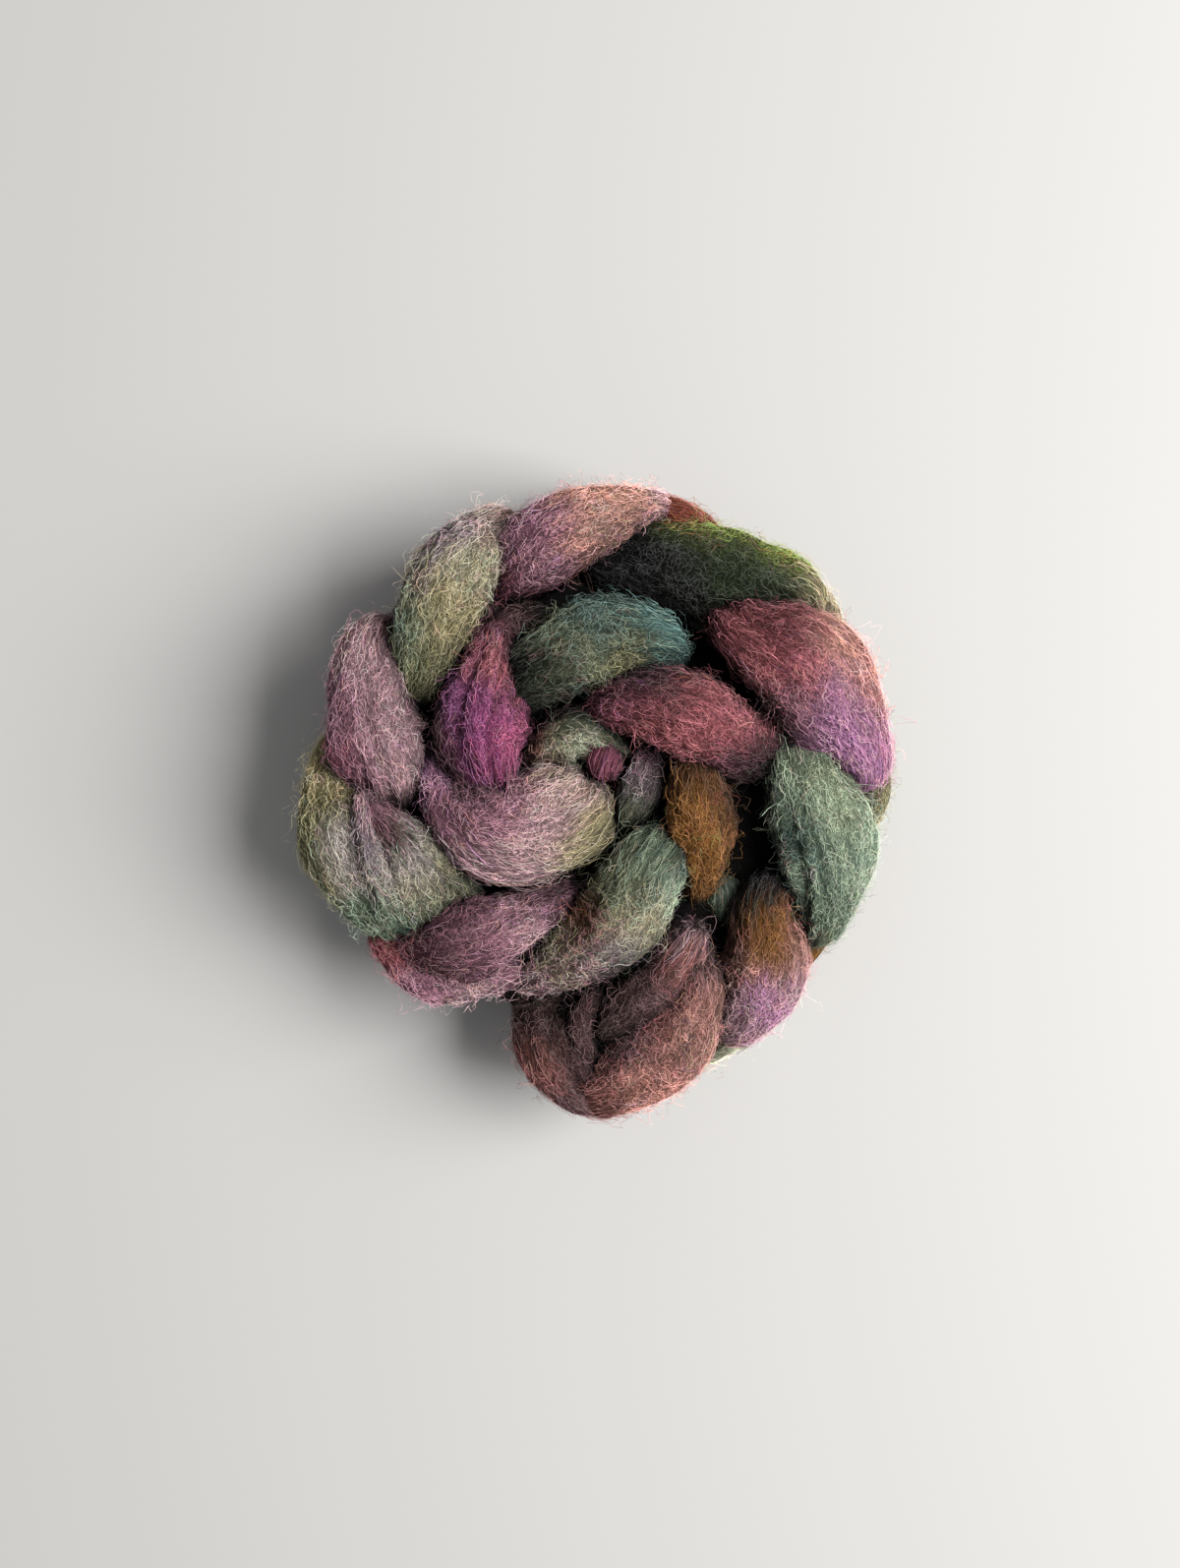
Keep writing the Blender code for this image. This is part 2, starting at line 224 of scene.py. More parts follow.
# The lower legs are one dye each, named for the upper leg that they follow.
UNDER_DYES = {
    "rosewood_end": "pale_green", "ochre": "ochre", "sea_green": "moss", "dusty_rose": "tan",
    "bottle_green": "rust", "salmon": "mauve", "olive": "mauve", "mauve": "sage",
    "straw": "plum", "plum": "brown_plum", "mint": "bottle", "amber": "bottle",
    "brick": "ink", "teal": "wine", "magenta": "wine", "blush": "bottle",
}
BLEED = 4.5                # how far a dye runs along the wool before the next takes over
DYE_STREAK = 0.5           # unevenness of a dye's edge from one lock to the next
CORE_PAINTED_SHADE = 0.12          # painted shade: the share of its dyes' brightness that the core and heart keep, deep in the chain
LAY_UNIT = 0.1             # a millimetre in the UV map of the fibres' lay

# Low uneven ridges of fibre: how many go round a leg, and their height in mm on a leg
# of this radius. They are lower on a thinner leg.
RIDGES = ((2, 0.6), (3, 0.5), (5, 0.4), (8, 0.3), (12, 0.2))
RIDGED_RADIUS = 12.0

# Long furrows between a leg's fibres: the leg, the turn about it in degrees at its
# head and tail (0 is the side towards the coil's heart, 90 the top), depth and width.
Furrow = namedtuple("Furrow", "leg head_turn tail_turn depth width")
FURROWS = (
    Furrow("magenta", 60, 88, 2.8, 2.8),
    Furrow("magenta", 115, 125, 2.2, 2.8),
    Furrow("straw", 60, 70, 0.8, 2.0),
    Furrow("straw_lock", 110, 100, 1.6, 1.8),
    Furrow("straw_edge", 100, 90, 1.6, 2.0),
    Furrow("sea_green", 60, 75, 1.4, 2.6),
    Furrow("sea_green", 120, 105, 1.4, 2.6),
    Furrow("sea_green", 150, 125, 2.0, 2.8),
    Furrow("blush", 60, 75, 1.6, 3.0),
    Furrow("mauve", 80, 100, 1.4, 2.6),
    Furrow("salmon", 75, 95, 1.2, 2.6),
    Furrow("bottle_green", 140, 150, 2.0, 2.6),
    Furrow("rosewood_end", 70, 80, 1.8, 2.8),
    Furrow("rosewood_tail", 80, 90, 1.6, 2.8),
    Furrow("mint", 100, 80, 1.2, 2.6),
    Furrow("celadon", 70, 80, 0.8, 1.4),
    Furrow("celadon", 110, 110, 0.8, 1.4),
)


def linear(hex_colour):
    """An sRGB hex colour as linear red, green and blue."""
    channels = np.array([int(hex_colour[i:i + 2], 16) for i in (0, 2, 4)]) / 255.0
    return np.where(channels <= 0.04045, channels / 12.92, ((channels + 0.055) / 1.055) ** 2.4)


# ---------------------------------------------------------------- routes of the strands

def ring(place):
    """A tube ring at a place of an upper leg: its centre and its radius, in one row."""
    place = Place(*place)
    centre_height = place.crest - 0.5 * place.width * SETTLE
    return np.array([place.x, place.y, centre_height, 0.5 * place.width])


def smooth_rings(rings, steps):
    """More rings, on a Catmull-Rom curve through the given ones."""
    padded = [rings[0], *rings, rings[-1]]
    result = []
    for i in range(len(rings) - 1):
        a, b, c, d = padded[i:i + 4]
        for t in np.arange(steps) / steps:
            drift = (c - a) * t
            bend = (2.0 * a - 5.0 * b + 4.0 * c - d) * t ** 2
            turn = (3.0 * b - a - 3.0 * c + d) * t ** 3
            result.append(b + 0.5 * (drift + bend + turn))
    result.append(rings[-1])
    return np.array(result)


def core_rings(steps=5):
    """The strands inside the chain, along the middles of its legs."""
    rings = [np.array([*CORE_START, MIDDLE, 0.5 * CORE_WIDTH])]
    for leg in CHAIN:
        belly = ring(leg.belly)
        rings.append(np.array([belly[0], belly[1], MIDDLE, 0.5 * CORE_WIDTH]))
    return smooth_rings(rings, steps)


CORE = core_rings()


def root_of(end, before, pull):
    """The ring that a leg sinks to past its end: on, down, and in to the chain's core."""
    along = end[:2] - before[:2]
    along /= np.linalg.norm(along)
    run = end[:2] + along * 2.0 * end[3] * ROOT_RUN
    root = np.array([*run, MIDDLE])
    nearest = CORE[np.argmin(np.linalg.norm(CORE[:, :3] - root, axis=1)), :3]
    return np.array([*(root + (nearest - root) * pull), end[3] * ROOT_THICKNESS])


def rooted(head, belly, tail, steps, pull=ROOT_PULL):
    """The rings of a leg from root to root."""
    roots = root_of(head, belly, pull), root_of(tail, belly, pull)
    return smooth_rings([roots[0], head, belly, tail, roots[1]], steps)


def lower_rings(leg, following, steps):
    """The rings of the lower leg that lies between two upper legs of the chain."""
    here, there = ring(leg.belly)[:2], ring(following.belly)[:2]
    along = (there - here) / np.linalg.norm(there - here)
    out = np.array([along[1], -along[0]])
    middle = 0.5 * (here + there) + out * leg.under
    half_height = 0.5 * LOWER_WIDTH * SETTLE
    belly = np.array([*middle, half_height - PRESSED, 0.5 * LOWER_WIDTH])
    reach = along * LOWER_REACH + out * LOWER_SLANT
    end_height = half_height + LOWER_END_LIFT
    head = np.array([*(middle - reach), end_height, 0.5 * LOWER_END_WIDTH])
    tail = np.array([*(middle + reach), end_height, 0.5 * LOWER_END_WIDTH])
    return rooted(head, belly, tail, steps)


# ---------------------------------------------------------------- surfaces

class Strand:
    """A tube of combed wool whose surface can be asked for at any place.

    Sections are round in a space where heights are divided by SETTLE, so that in
    the real one every section is squashed by the coil's own weight.
    """

    def __init__(self, name, rings):
        self.name = name
        self.rings = rings.copy()
        self.rings[:, :2] -= COIL_MIDDLE
        self.rings[:, 2] /= SETTLE
        centres = self.rings[:, :3]
        steps = np.linalg.norm(np.diff(centres, axis=0), axis=1)
        self.distance = np.concatenate([[0.0], np.cumsum(steps)])
        self.length = self.distance[-1]
        self.belly = self.rings[:, 3].max()
        self.across, self.up = self.carried_axes(centres)
        self.waves = self.random_waves()
        self.furrows = [f for f in FURROWS if f.leg == name]

    @staticmethod
    def carried_axes(centres):
        """Section axes carried along the strand from its middle without twisting."""
        tangents = np.gradient(centres, axis=0)
        tangents /= np.linalg.norm(tangents, axis=1)[:, None]
        count = len(centres)
        across = np.zeros((count, 3))
        middle = count // 2
        across[middle] = np.cross((0, 0, 1), tangents[middle])
        across[middle] /= np.linalg.norm(across[middle])
        for order in (range(middle + 1, count), range(middle - 1, -1, -1)):
            for i in order:
                last = across[i - 1 if i > middle else i + 1]
                flat = last - tangents[i] * (last @ tangents[i])
                across[i] = flat / np.linalg.norm(flat)
        return across, np.cross(tangents, across)

    @staticmethod
    def random_waves():
        """Low uneven ridges of fibre: ridges around, waves along, height and phase."""
        waves = []
        for ridges, height in RIDGES:
            for _ in range(2):
                along = rng.normal(0.0, 1.6)
                size = height * rng.uniform(0.5, 1.0)
                waves.append((ridges, along, size, rng.uniform(0, 2 * np.pi)))
        return waves

    def streaks(self, turn):
        """How far along the strand each line of fibres has carried its dye."""
        shift = np.zeros(np.shape(turn))
        for ridges, _, _, phase in self.waves:
            shift += np.sin(2 * ridges * turn + 3.0 * phase)
        return shift * DYE_STREAK / self.length

    def relief(self, along, turn):
        """Height of the surface over the plain tube, in millimetres."""
        scale = self.belly / RIDGED_RADIUS
        height = np.zeros(np.broadcast(along, turn).shape)
        for ridges, waves, size, phase in self.waves:
            height += size * scale * np.sin(ridges * turn + 2 * np.pi * waves * along + phase)
        for f in self.furrows:
            middle = np.radians(f.head_turn + (f.tail_turn - f.head_turn) * along)
            gap = np.angle(np.exp(1j * (turn - middle))) * self.belly
            window = np.sin(np.pi * np.clip(along, 0, 1)) ** 0.5
            height -= f.depth * window * np.exp(-(gap / (0.6 * f.width)) ** 2)
        return height

    def at(self, along, turn, lift=0.0):
        """Points on the surface in metres, and outward normals.

        along runs from 0 at the head's root to 1 at the tail's, turn is an angle
        about the strand, and lift is a height over the surface in millimetres.
        """
        along, turn = np.broadcast_arrays(along, turn)
        where = along * self.length

        def read(values):
            return np.interp(where, self.distance, values)

        centre = np.stack([read(self.rings[:, i]) for i in range(3)], axis=-1)
        across = np.stack([read(self.across[:, i]) for i in range(3)], axis=-1)
        up = np.stack([read(self.up[:, i]) for i in range(3)], axis=-1)
        radius = read(self.rings[:, 3])
        shrink = np.clip(radius / self.belly, 0.3, 1.0)
        radius = radius + self.relief(along, turn) * shrink + lift
        out = np.cos(turn)[..., None] * across + np.sin(turn)[..., None] * up
        points = centre + radius[..., None] * out
        points[..., 2] *= SETTLE
        normals = out.copy()
        normals[..., 2] /= SETTLE
        normals /= np.linalg.norm(normals, axis=-1)[..., None]
        return points * MM, normals


def all_strands():
    """The chain's strands: the upper legs and their splits, the lower legs and the core."""
    fine, coarse = 12, 8
    uppers, lowers = [], []
    for leg in CHAIN + SIDE_STRANDS:
        head, belly, tail = ring(leg.head), ring(leg.belly), ring(leg.tail)
        pull = ROOT_PULL if leg in CHAIN else SIDE_PULL
        uppers.append(Strand(leg.name, rooted(head, belly, tail, fine, pull)))
    for leg, following in zip(CHAIN[:-1], CHAIN[1:]):
        lowers.append(Strand("under_" + leg.name, lower_rings(leg, following, coarse)))
    return uppers, lowers, Strand("core", CORE)


def dye_and_shade_at(name, x, y):
    """Linear colours at places of a strand, each spot of dye, and of painted shade, bleeding into the next.
    """
    depth = 1.0
    if name == "core":
        spots = [(px, py, dye) for leg_spots in DYE_AND_SHADE_SPOTS.values() for px, py, dye in leg_spots]
        depth = CORE_PAINTED_SHADE
    elif name.startswith("under_"):
        spots = ((0, 0, UNDER_DYES[name[len("under_"):]]),)
    else:
        spots = DYE_AND_SHADE_SPOTS[name]
    total = np.zeros(x.shape + (3,))
    weights = np.zeros(x.shape)
    for spot_x, spot_y, dye in spots:
        gap = (x - spot_x) ** 2 + (y - spot_y) ** 2
        weight = np.exp(-gap / (2 * BLEED ** 2)) + 1e-4 / (1.0 + gap)
        total += weight[..., None] * linear(DYES[dye])
        weights += weight
    return depth * total / weights[..., None]


def table_place(points):
    """x and y in the tables' own millimetres, from points in metres."""
    return points[..., 0] / MM + COIL_MIDDLE[0], points[..., 1] / MM + COIL_MIDDLE[1]


def strand_mesh(strand, around, lengthwise, index):
    """Vertices, faces, lay coordinates and dyes of one closed strand."""
    along = np.linspace(0.0, 1.0, lengthwise)
    turn = np.linspace(0.0, 2 * np.pi, around, endpoint=False) - 0.5 * np.pi
    points, _ = strand.at(along[:, None], turn[None, :])
    ends = [points[0].mean(axis=0), points[-1].mean(axis=0)]
    vertices = np.concatenate([points.reshape(-1, 3), ends])
    vertices[:, 2] = np.maximum(vertices[:, 2], 0.0)
    carried = np.clip(along[:, None] + strand.streaks(turn)[None, :], 0.0, 1.0)
    dyed, _ = strand.at(carried, turn[None, :])
    dyed = np.concatenate([dyed.reshape(-1, 3), ends])
    colours = dye_and_shade_at(strand.name, *table_place(dyed))
    faces, lay = [], []
    seam_shift = 200.0 * index
    girth = 2 * np.pi * strand.belly
    for i in range(lengthwise - 1):
        for j in range(around):
            k = (j + 1) % around
            faces.append((i * around + j, i * around + k, (i + 1) * around + k, (i + 1) * around + j))
            left, right = seam_shift + girth * j / around, seam_shift + girth * (j + 1) / around
            low, high = along[i] * strand.length, along[i + 1] * strand.length
            lay += [(left, low), (right, low), (right, high), (left, high)]
    head_pole, tail_pole = len(vertices) - 2, len(vertices) - 1
    last = (lengthwise - 1) * around
    for j in range(around):
        k = (j + 1) % around
        faces.append((head_pole, k, j))
        faces.append((tail_pole, last + j, last + k))
        here = seam_shift + girth * j / around
        lay += [(here, 0.0)] * 3 + [(here, strand.length)] * 3
    return vertices, faces, lay, colours


def heart_piece(name):
    """The wool pressed flat between the turns, which closes the coil through."""
    x, y, radius, thickness = HEART
    bpy.ops.mesh.primitive_uv_sphere_add(segments=64, ring_count=16, radius=1.0)
    piece = bpy.context.active_object
    piece.name = name
    place = Vector(((x - COIL_MIDDLE[0]) * MM, (y - COIL_MIDDLE[1]) * MM, MIDDLE * MM))
    size = Vector((radius * MM, radius * MM, 0.5 * thickness * MM))
    piece.data.transform(Matrix.LocRotScale(place, None, size))
    corners = np.array([v.co[:] for v in piece.data.vertices])
    # The heart takes the core's dyes, darkened by the core's painted shade.
    colours = dye_and_shade_at("core", *table_place(corners))
    paint(piece.data, colours)
    flat = piece.data.uv_layers.active
    flat.name = "lay"
    spread = np.array([corners[loop.vertex_index, :2] / MM * LAY_UNIT for loop in piece.data.loops])
    flat.data.foreach_set("uv", spread.astype(np.float32).ravel())
    piece.data.shade_smooth()
    return piece


def paint(mesh, colours):
    """Store the dyes, with the painted shade among them, on a mesh's points."""
    dye = mesh.color_attributes.new("dye", "FLOAT_COLOR", "POINT")
    rgba = np.concatenate([colours, np.ones((len(colours), 1))], axis=1).astype(np.float32)
    dye.data.foreach_set("color", rgba.ravel())


def join_strands(name, strands, around, lengthwise, first_index):
    """One mesh object of several closed strands, with the lay of their fibres as a UV map."""
    vertices, faces, lay, colours = [], [], [], []
    count = 0
    for i, strand in enumerate(strands):
        v, f, l, c = strand_mesh(strand, around, lengthwise, first_index + i)
        vertices.append(v)
        colours.append(c)
        faces += [tuple(corner + count for corner in face) for face in f]
        lay += l
        count += len(v)
    mesh = bpy.data.meshes.new(name)
    mesh.from_pydata(np.concatenate(vertices).tolist(), [], faces)
    mesh.validate()
    mesh.shade_smooth()
    uv = mesh.uv_layers.new(name="lay")
    uv.data.foreach_set("uv", (np.array(lay, dtype=np.float32) * LAY_UNIT).ravel())
    paint(mesh, np.concatenate(colours))
    piece = bpy.data.objects.new(name, mesh)
    bpy.context.scene.collection.objects.link(piece)
    return piece


# ---------------------------------------------------------------- materials

def node(tree, kind, inputs=None, **settings):
    """Add a node with its settings, and set or link its inputs."""
    added = tree.nodes.new(kind)
    for name, value in settings.items():
        setattr(added, name, value)
    for key, value in (inputs or {}).items():
        if isinstance(value, bpy.types.NodeSocket):
            tree.links.new(value, added.inputs[key])
        else:
            added.inputs[key].default_value = value
    return added


def wool_surface(name):
    """Combed wool top, hand-painted with acid dyes and dried as a loose strand.

    The fibres lie side by side and are crimped, so the eye sees matte streaks along
    the strand, lighter where a lock stands out and darker in between, with a soft
    bloom of light at grazing angles and no gloss.
    """
    material = bpy.data.materials.new(name)
    material.use_nodes = True
    tree = material.node_tree
    shader = tree.nodes["Principled BSDF"]
    # A wool fibre is 0.025 mm thick and can't show: it is drawn as threads of 0.3 mm.
    # The UV map counts 10 mm as 1, so a scale of 20 is something every 0.5 mm.
    lay = node(tree, "ShaderNodeUVMap", uv_map="lay").outputs["UV"]
    crimp = node(tree, "ShaderNodeTexNoise", {"Vector": lay, "Scale": 5.0, "Detail": 1.0})
    centred = node(tree, "ShaderNodeVectorMath", {0: crimp.outputs["Color"], 1: (0.5, 0.5, 0.5)},
                   operation="SUBTRACT")
    drift = node(tree, "ShaderNodeVectorMath", {0: centred.outputs[0], 1: (0.22, 0.22, 0.0)},
                 operation="MULTIPLY")
    crimped = node(tree, "ShaderNodeVectorMath", {0: lay, 1: drift.outputs[0]}, operation="ADD").outputs[0]

    def threads(turn, across, along):
        """Thin light lines that wander along the strand, at a slant to its lay."""
        place = node(tree, "ShaderNodeMapping", {"Vector": crimped, "Rotation": (0.0, 0.0, turn),
                                                 "Scale": (across, along, 1.0)})
        noise = node(tree, "ShaderNodeTexNoise", {"Vector": place.outputs[0], "Scale": 1.0,
                                                  "Detail": 1.0, "Distortion": 0.3})
        off_line = node(tree, "ShaderNodeMath", {0: noise.outputs["Fac"], 1: 0.5}, operation="SUBTRACT")
        gap = node(tree, "ShaderNodeMath", {0: off_line.outputs[0]}, operation="ABSOLUTE")
        return node(tree, "ShaderNodeMapRange", {"Value": gap.outputs[0], "From Min": 0.0,
                                                 "From Max": 0.09, "To Min": 1.0, "To Max": 0.0})

    layers = [threads(0.1, 17.0, 3.0), threads(-0.3, 14.0, 3.6), threads(0.5, 11.0, 4.0)]
    both = node(tree, "ShaderNodeMath", {0: layers[0].outputs[0], 1: layers[1].outputs[0]}, operation="ADD")
    lines = node(tree, "ShaderNodeMath", {0: both.outputs[0], 1: layers[2].outputs[0]}, operation="ADD")
    clumps_place = node(tree, "ShaderNodeMapping", {"Vector": crimped, "Scale": (4.5, 0.9, 1.0)})
    clumps = node(tree, "ShaderNodeTexNoise", {"Vector": clumps_place.outputs[0], "Scale": 1.0,
                                               "Detail": 3.0})
    fuzz = node(tree, "ShaderNodeTexNoise", {"Vector": lay, "Scale": 22.0, "Detail": 2.0})
    line_tone = node(tree, "ShaderNodeMapRange", {"Value": lines.outputs[0], "From Min": 0.0,
                                                  "From Max": 1.6, "To Min": 0.36, "To Max": 1.0})
    clump_tone = node(tree, "ShaderNodeMapRange", {"Value": clumps.outputs["Fac"], "From Min": 0.3,
                                                   "From Max": 0.7, "To Min": 0.72, "To Max": 1.25})
    fuzz_tone = node(tree, "ShaderNodeMapRange", {"Value": fuzz.outputs["Fac"], "From Min": 0.3,
                                                  "From Max": 0.7, "To Min": 0.75, "To Max": 1.25})
    tone = node(tree, "ShaderNodeMath", {0: line_tone.outputs[0], 1: clump_tone.outputs[0]},
                operation="MULTIPLY")
    tone = node(tree, "ShaderNodeMath", {0: tone.outputs[0], 1: fuzz_tone.outputs[0]},
                operation="MULTIPLY")
    # This attribute holds the dyes darkened by painted shade in folds and creases.
    dye = node(tree, "ShaderNodeAttribute", attribute_name="dye")
    colour = node(tree, "ShaderNodeVectorMath", {0: dye.outputs["Color"], 1: tone.outputs[0]},
                  operation="MULTIPLY")
    relief = node(tree, "ShaderNodeMath", {0: lines.outputs[0], 1: fuzz.outputs["Fac"]},
                  operation="ADD")
    bump = node(tree, "ShaderNodeBump", {"Height": relief.outputs[0], "Strength": 1.0,
                                         "Distance": 0.0004})
    tree.links.new(colour.outputs[0], shader.inputs["Base Color"])
    tree.links.new(bump.outputs[0], shader.inputs["Normal"])
    shader.inputs["Roughness"].default_value = 0.95
    shader.inputs["IOR"].default_value = 1.55
    shader.inputs["Specular IOR Level"].default_value = 0.05
    shader.inputs["Sheen Weight"].default_value = 0.02
    shader.inputs["Sheen Roughness"].default_value = 0.6
    shader.inputs["Sheen Tint"].default_value = (0.9, 0.85, 0.85, 1.0)
    return material


def wool_fibre(name, colour, depth):
    """A single dyed wool fibre: scaly keratin, half clear, paler than the mass of them.

    The stray fibres on dark wool are greyer and paler yet, and fibres that lie in a fold are darkened by
    painted shade.
    """
    material = bpy.data.materials.new(name)
    material.use_nodes = True
    shader = material.node_tree.nodes["Principled BSDF"]
    # Twice the mass's lightness, greyed a little, and most of all where the dye is dark; then darkened by
    # the painted shade of its fold.
    mean = colour.mean()
    pale = depth * (2.0 * colour + 0.15 * mean + 0.03 + 0.0013 / (mean + 0.02))
    shader.inputs["Base Color"].default_value = (*pale, 1.0)
    shader.inputs["Roughness"].default_value = 0.6
    shader.inputs["IOR"].default_value = 1.55
    shader.inputs["Specular IOR Level"].default_value = 0.15
    return material


# ---------------------------------------------------------------- loose fibres

def prism_mesh(paths, sides_up, radii):
    """Closed three-sided prisms along the paths, drawn to a point at both tips.

    paths is (fibres, points, 3) in metres, sides_up the direction that each
    fibre's first edge faces, and radii its thickness at each point.
    """
    fibres, points, _ = paths.shape
    tangents = np.gradient(paths, axis=1)
    tangents /= np.linalg.norm(tangents, axis=2)[..., None] + 1e-12
    side = np.cross(tangents, sides_up)
    side /= np.linalg.norm(side, axis=2)[..., None] + 1e-12
    top = np.cross(side, tangents)
    corners = []
    for angle in (np.pi / 2, np.pi * 7 / 6, np.pi * 11 / 6):
        corners.append(paths + radii[..., None] * (np.cos(angle) * side + np.sin(angle) * top))
    rings = np.stack(corners, axis=2)[:, 1:-1].reshape(fibres, -1, 3)
    vertices = np.concatenate([rings, paths[:, :1], paths[:, -1:]], axis=1)
    first_tip, last_tip = rings.shape[1], rings.shape[1] + 1
    strip, tips = [], []
    for j in range(3):
        k = (j + 1) % 3
        for i in range(0, first_tip - 3, 3):
            strip.append((i + j, i + k, i + 3 + k, i + 3 + j))
        tips += [(first_tip, k, j), (last_tip, first_tip - 3 + j, first_tip - 3 + k)]
    starts = np.arange(fibres)[:, None, None] * vertices.shape[1]
    quads = (np.array(strip)[None] + starts).reshape(-1, 4)
    triangles = (np.array(tips)[None] + starts).reshape(-1, 3)
    return vertices.reshape(-1, 3), quads, triangles


def fibre_piece(name, paths, sides_up, radii, shades, palette):
    """One mesh object of many fibres, each in one of the palette's colours."""
    vertices, quads, triangles = prism_mesh(paths, sides_up, radii)
    mesh = bpy.data.meshes.new(name)
    mesh.from_pydata(vertices.tolist(), [], quads.tolist() + triangles.tolist())
    slots = np.concatenate([np.repeat(shades, len(faces) // len(paths)) for faces in (quads, triangles)])
    for material in palette:
        mesh.materials.append(material)
    mesh.polygons.foreach_set("material_index", slots.astype(np.int32))
    mesh.shade_smooth()
    piece = bpy.data.objects.new(name, mesh)
    bpy.context.scene.collection.objects.link(piece)
    return piece


# Kinds of loose fibre. Real ones are 0.025 mm thick: these stand for small locks of
# them, so they are thicker and fewer. Lengths, lift off the wool and radius in mm;
# skew, bend and curl are how far the fibre turns from the lay, in radians, and free
# is the share of fibres with one end loose.
Kind = namedtuple("Kind", "per_mm2 shortest longest points skew bend curl lift free radius")
KINDS = {
    "laid": Kind(0.14, 4.5, 9.0, 6, 0.45, 0.06, 0.6, 0.3, 0.2, 0.065),
    "fuzz": Kind(0.65, 4.0, 8.5, 7, 1.1, 0.12, 1.3, 0.9, 0.5, 0.052),
    "flyaway": Kind(0.15, 6.0, 11.0, 9, 1.6, 0.15, 1.4, 2.2, 0.6, 0.045),
}
WAVE_PITCHES = ((3.6, 5.5), (5.5, 12.0))  # mm from one bend of a fibre to the next, short and long
MEAN_GIRTH = 0.6           # a strand's mean girth over its girth at the belly
LEAST_OPEN = 0.28          # wool less open than this is too deep for its fibres to show
SIDE_SHARE = 0.35          # fibres under a leg's sides over those on its top
LOWER_SHARE = 0.1          # fibres on the lower legs, which few looks reach, over those on the upper

# The strands whose loose fibres are joined into one piece.
TURNS = {
    "outer_turn": ("rosewood_end", "ochre", "sea_green", "dusty_rose", "bottle_green",
                   "rosewood_fold", "rosewood_rim", "rosewood_wisp", "rosewood_tail",
                   "gap_lock", "pale_loop", "rust_loop", "tan_loop", "moss_loop"),
    "left_turn": ("salmon", "olive", "mauve", "straw", "plum",
                  "straw_ridge", "straw_lock", "straw_edge", "plum_rim"),
    "inner_turn": ("mint", "amber", "brick", "teal", "magenta", "blush", "celadon",
                   "magenta_end", "lilac_heart", "brick_knob"),
}

# Painted shade: wool deep in a fold is darkened in its colour, as light is lost between the fibres there.
FOLD_REACH = 18.0          # mm over which neighbours shut a place off
FOLD_SHADE = 0.04          # painted shade: brightness left in the deepest fold
FIBRE_PAINTED_SHADES = (1.0, 0.42, 0.1)  # painted shade: brightness of the fibres on open wool, in a fold, and deep in one
FOLD_POWER = 2.1           # how steeply the brightness falls as a place is shut off
TINT_SPREAD = 0.10         # how far fibres of one dye stray in hue, as a share
TONE_SPREAD = 0.25         # and in lightness

# Twenty directions spread evenly all round, along which a place looks for the air.
LOOKS = np.array([[np.sqrt(1 - h * h) * np.cos(2.4 * i), np.sqrt(1 - h * h) * np.sin(2.4 * i), h]
                  for i, h in enumerate(np.linspace(-0.95, 0.95, 20))])


def openness(tree, points, normals):
    """Share of the air above each place that no other wool shuts off within FOLD_REACH."""
    result = np.ones(len(points))
    facing = normals @ LOOKS.T
    for i, (point, normal) in enumerate(zip(points, normals)):
        start = Vector(point + normal * 0.5 * MM)
        free, total = 0.0, 1e-9
        for way, cosine in zip(LOOKS, facing[i]):
            if cosine > 0.1:
                total += cosine
                if tree.ray_cast(start, Vector(way), FOLD_REACH * MM)[0] is None:
                    free += cosine
        result[i] = free / total
    return result


def fold_shade(share):
    """The painted shade: how much of its dye's brightness wool keeps, from the openness of its place."""
    return FOLD_SHADE + (1.0 - FOLD_SHADE) * share ** FOLD_POWER


def shade_folds(piece, tree):
    """Paint shade into a piece's dyes where it lies deep between its neighbours."""
    mesh = piece.data
    points = np.array([v.co[:] for v in mesh.vertices])
    normals = np.array([n.vector[:] for n in mesh.vertex_normals])
    dye = mesh.color_attributes["dye"]
    colours = np.empty(4 * len(points), dtype=np.float32)
    dye.data.foreach_get("color", colours)
    colours = colours.reshape(-1, 4)
    colours[:, :3] *= fold_shade(openness(tree, points, normals))[:, None]
    dye.data.foreach_set("color", colours.ravel())


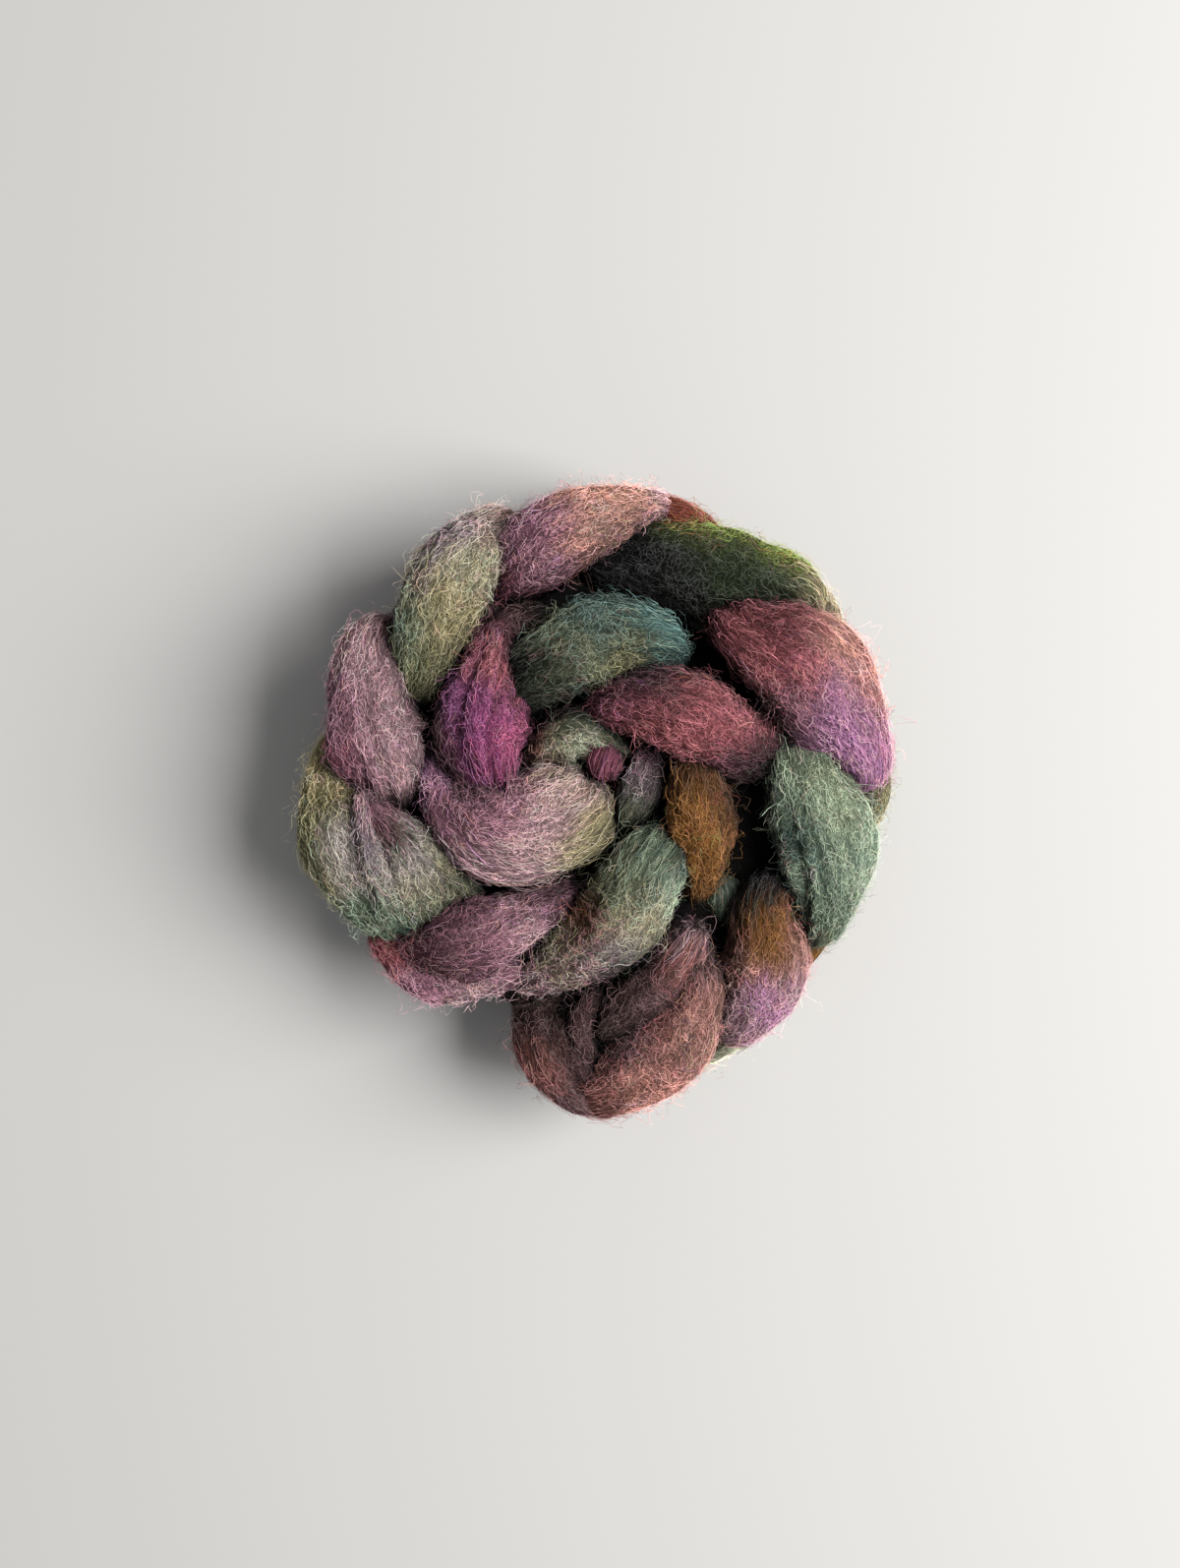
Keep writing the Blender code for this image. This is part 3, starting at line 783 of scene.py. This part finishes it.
def loose_fibres(strand, tree, kind):
    """Paths of one kind of fibre on a strand, the ways out of the wool, their dyes and painted shades."""
    area = strand.length * 2 * np.pi * strand.belly * MEAN_GIRTH
    count = int(area * kind.per_mm2)
    along0 = rng.uniform(0.05, 0.95, count)
    turn0 = rng.uniform(0, 2 * np.pi, count)
    start, normals = strand.at(along0, turn0, 0.3)
    share = openness(tree, start, normals)
    upward = np.clip(2.0 * normals[:, 2] + 0.8, 0.0, 1.0)
    seen = (share > LEAST_OPEN) & (rng.random(count) < SIDE_SHARE + upward)
    shade = fold_shade(share[seen])
    along0, turn0 = along0[seen][:, None], turn0[seen][:, None]
    count = len(along0)

    def spread(low, high):
        return rng.uniform(low, high, (count, 1))

    length = spread(kind.shortest, kind.longest)
    share = np.linspace(0.0, 1.0, kind.points)[None, :]
    run = share * length
    heading = rng.normal(0.0, kind.skew, (count, 1)) + rng.normal(0.0, kind.bend, (count, 1)) * run
    for pitch in [spread(*pitches) for pitches in WAVE_PITCHES]:
        waves = 2 * np.pi * (run / pitch + spread(0.0, 1.0))
        heading += spread(0.4, 1.0) * kind.curl * np.sin(waves)
    step = length / (kind.points - 1)
    forward = np.cumsum(np.cos(heading) * step, axis=1) / strand.length
    sideways = np.cumsum(np.sin(heading) * step, axis=1) / strand.belly
    along = np.clip(along0 + forward - forward.mean(axis=1)[:, None], 0.0, 1.0)
    turn = turn0 + sideways - sideways.mean(axis=1)[:, None]
    reach = rng.gamma(2.0, 0.5 * kind.lift, (count, 1))
    loop = np.sin(np.pi * share)
    free_end = share ** 1.5
    rise = np.where(rng.random((count, 1)) < kind.free, free_end, loop)
    wobble = 0.25 * reach * np.sin(2 * np.pi * (run / spread(3.0, 6.0) + spread(0.0, 1.0))) * loop
    paths, ups = strand.at(along, turn, reach * rise + wobble - 0.1)
    dyed, _ = strand.at(np.clip(along0 + rng.normal(0.0, 0.03, (count, 1)), 0.0, 1.0), turn0)
    return paths, ups, dye_and_shade_at(strand.name, *table_place(dyed[:, 0])), shade


def nearest_shades(dyes, shades, palette_colours):
    """The palette slot of each fibre, chosen by chance between its nearest dyes and painted shade levels.
    """
    jittered = dyes * np.exp(rng.normal(0.0, TONE_SPREAD, (len(dyes), 1)))
    jittered *= np.exp(rng.normal(0.0, TINT_SPREAD, dyes.shape))
    gaps = np.linalg.norm(np.log(jittered[:, None] + 0.01) - np.log(palette_colours[None] + 0.01), axis=2)
    shades = shades * np.exp(rng.normal(0.0, TONE_SPREAD, len(shades)))
    painted_shade_levels = np.argmin(np.abs(np.log(shades[:, None] / np.array(FIBRE_PAINTED_SHADES)[None])), axis=1)
    return painted_shade_levels * len(palette_colours) + np.argmin(gaps, axis=1)


def add_fibres(uppers, lowers, tree):
    """All the loose fibres, as a few joined pieces."""
    colours = np.array([linear(dye) for dye in DYES.values()])
    palette = []
    # Each dye has a lit copy and two shaded copies: painted shade for fibres in folds.
    for level, depth in enumerate(FIBRE_PAINTED_SHADES):
        for name, colour in zip(DYES, colours):
            palette.append(wool_fibre(f"fibre_{name}_{level}", colour, depth))
    pieces = []
    named = {strand.name: strand for strand in uppers}
    groups = {group: [named[name] for name in names] for group, names in TURNS.items()}
    groups["lower_turn"] = lowers
    for group, strands in groups.items():
        for label, kind in KINDS.items():
            if group == "lower_turn" and label == "laid":
                continue
            if group == "lower_turn":
                kind = kind._replace(per_mm2=kind.per_mm2 * LOWER_SHARE)
            parts = [loose_fibres(strand, tree, kind) for strand in strands]
            paths, ups, dyes, shades = (np.concatenate(column) for column in zip(*parts))
            paths[..., 2] = np.maximum(paths[..., 2], 0.1 * MM)
            slots = nearest_shades(dyes, shades, colours)
            taper = np.sin(np.pi * np.linspace(0.1, 0.9, kind.points)) ** 0.4
            radii = rng.uniform(0.8, 1.2, (len(paths), 1)) * taper * kind.radius * MM
            pieces.append(fibre_piece(group + "_" + label, paths, ups, radii, slots, palette))
    return pieces


# ---------------------------------------------------------------- the braid

uppers, lowers, core = all_strands()
wool = wool_surface("hand_dyed_combed_wool")
legs = join_strands("braid_upper_legs", uppers, around=48, lengthwise=44, first_index=0)
under = join_strands("braid_lower_legs", lowers, around=24, lengthwise=30, first_index=40)
inside = join_strands("braid_core", [core], around=28, lengthwise=120, first_index=80)
heart = heart_piece("braid_heart")
body = (legs, under, inside, heart)
corners, faces = [], []
for piece in body:
    start = len(corners)
    corners += [v.co.copy() for v in piece.data.vertices]
    faces += [[start + i for i in p.vertices] for p in piece.data.polygons]
wool_tree = BVHTree.FromPolygons(corners, faces)
for piece in body:
    shade_folds(piece, wool_tree)
    piece.data.materials.append(wool)
fibres = add_fibres(uppers, lowers, wool_tree)
for piece in (*body, *fibres):
    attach(piece, "root")
    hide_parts("wool_braid")

# ---------------------------------------------------------------- table, light and camera


def pale_table():
    """A plain pale floor: matte off-white board."""
    side = 6.0
    mesh = bpy.data.meshes.new("table")
    half = 0.5 * side
    mesh.from_pydata([(-half, -half, 0), (half, -half, 0), (half, half, 0), (-half, half, 0)], [],
                     [(0, 1, 2, 3)])
    table = bpy.data.objects.new("table", mesh)
    bpy.context.scene.collection.objects.link(table)
    material = bpy.data.materials.new("pale_table")
    material.use_nodes = True
    shader = material.node_tree.nodes["Principled BSDF"]
    shader.inputs["Base Color"].default_value = (*linear("b9b7b4"), 1.0)
    shader.inputs["Roughness"].default_value = 0.9
    mesh.materials.append(material)
    return table


def area_light(name, place, size, power):
    """A square soft box that faces the coil."""
    light = bpy.data.lights.new(name, "AREA")
    light.size = size
    light.energy = power
    lamp = bpy.data.objects.new(name, light)
    lamp.location = place
    lamp.rotation_euler = (-Vector(place)).to_track_quat("-Z", "Y").to_euler()
    bpy.context.scene.collection.objects.link(lamp)
    return lamp


def overhead_camera():
    """A camera straight above the coil, as far off as a hand would hold one."""
    camera = bpy.data.cameras.new("overhead_camera")
    camera.sensor_fit = "HORIZONTAL"
    camera.sensor_width = 36.0
    above_table, level, shown = 0.465, 0.030, 0.336
    camera.lens = camera.sensor_width * (above_table - level) / shown
    holder = bpy.data.objects.new("overhead_camera", camera)
    holder.location = (0.00015, 0.0023, above_table)
    bpy.context.scene.collection.objects.link(holder)
    bpy.context.scene.camera = holder


pale_table()
bpy.context.scene.view_settings.view_transform = "Standard"
area_light("window", place=(1.23, 0.05, 1.1), size=1.2, power=60.0)
world = bpy.context.scene.world or bpy.data.worlds.new("room")
bpy.context.scene.world = world
world.use_nodes = True
world.node_tree.nodes["Background"].inputs["Color"].default_value = (0.95, 0.97, 1.0, 1.0)
world.node_tree.nodes["Background"].inputs["Strength"].default_value = 0.30
overhead_camera()
